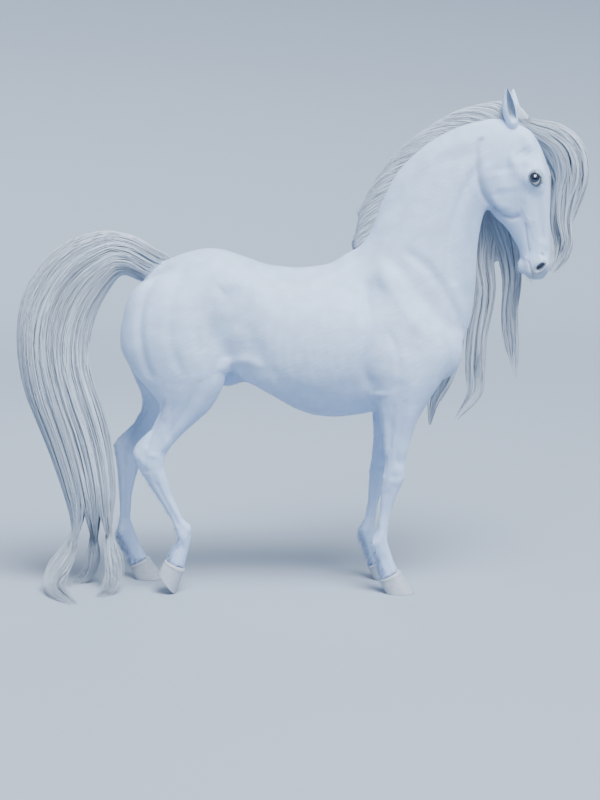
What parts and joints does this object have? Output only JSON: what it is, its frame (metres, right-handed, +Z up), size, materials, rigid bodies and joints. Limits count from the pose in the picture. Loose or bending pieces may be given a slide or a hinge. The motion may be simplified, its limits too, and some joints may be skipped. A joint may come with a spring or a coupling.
{
  "type": "horse",
  "caption": "Pale grey stallion standing with arched neck, long flowing mane and raised tail, one hind hoof resting on its toe",
  "frame": {"origin": "centre of the bounding box's footprint, on the ground under the hooves", "axes": "+X forwards along the trunk, +Y to the horse's left, +Z up"},
  "size_m": [2.652, 0.6696, 2.3229],
  "materials": {
    "coat": "short pale coat",
    "mane_hair": "long soft hair",
    "tail_hair": "long soft hair",
    "hoof": "satin horn",
    "eye": "wet gloss"
  },
  "bodies": {
    "root": {"ear_left": "coat", "ear_right": "coat", "eye_left": "eye", "eye_right": "eye", "foreleg_left_lower": "coat", "foreleg_left_upper": "coat", "foreleg_right_lower": "coat", "foreleg_right_upper": "coat", "forelock": "mane_hair", "head": "coat", "hindleg_left_lower": "coat", "hindleg_left_upper": "coat", "hindleg_right_lower": "coat", "hindleg_right_upper": "coat", "hoof_fore_left": "hoof", "hoof_fore_right": "hoof", "hoof_hind_left": "hoof", "hoof_hind_right": "hoof", "mane_crest": "mane_hair", "mane_lock_1": "mane_hair", "mane_lock_2": "mane_hair", "mane_lock_3": "mane_hair", "mane_lock_4": "mane_hair", "mane_lock_5": "mane_hair", "mane_lock_6": "mane_hair", "neck": "coat", "tail_arch": "tail_hair", "tail_dock": "coat", "tail_ends": "tail_hair", "tail_fall": "tail_hair", "tail_gather": "tail_hair", "tail_tip_inner": "tail_hair", "tail_tip_middle": "tail_hair", "tail_tip_outer": "tail_hair", "trunk": "coat"}
  },
  "joints": []
}
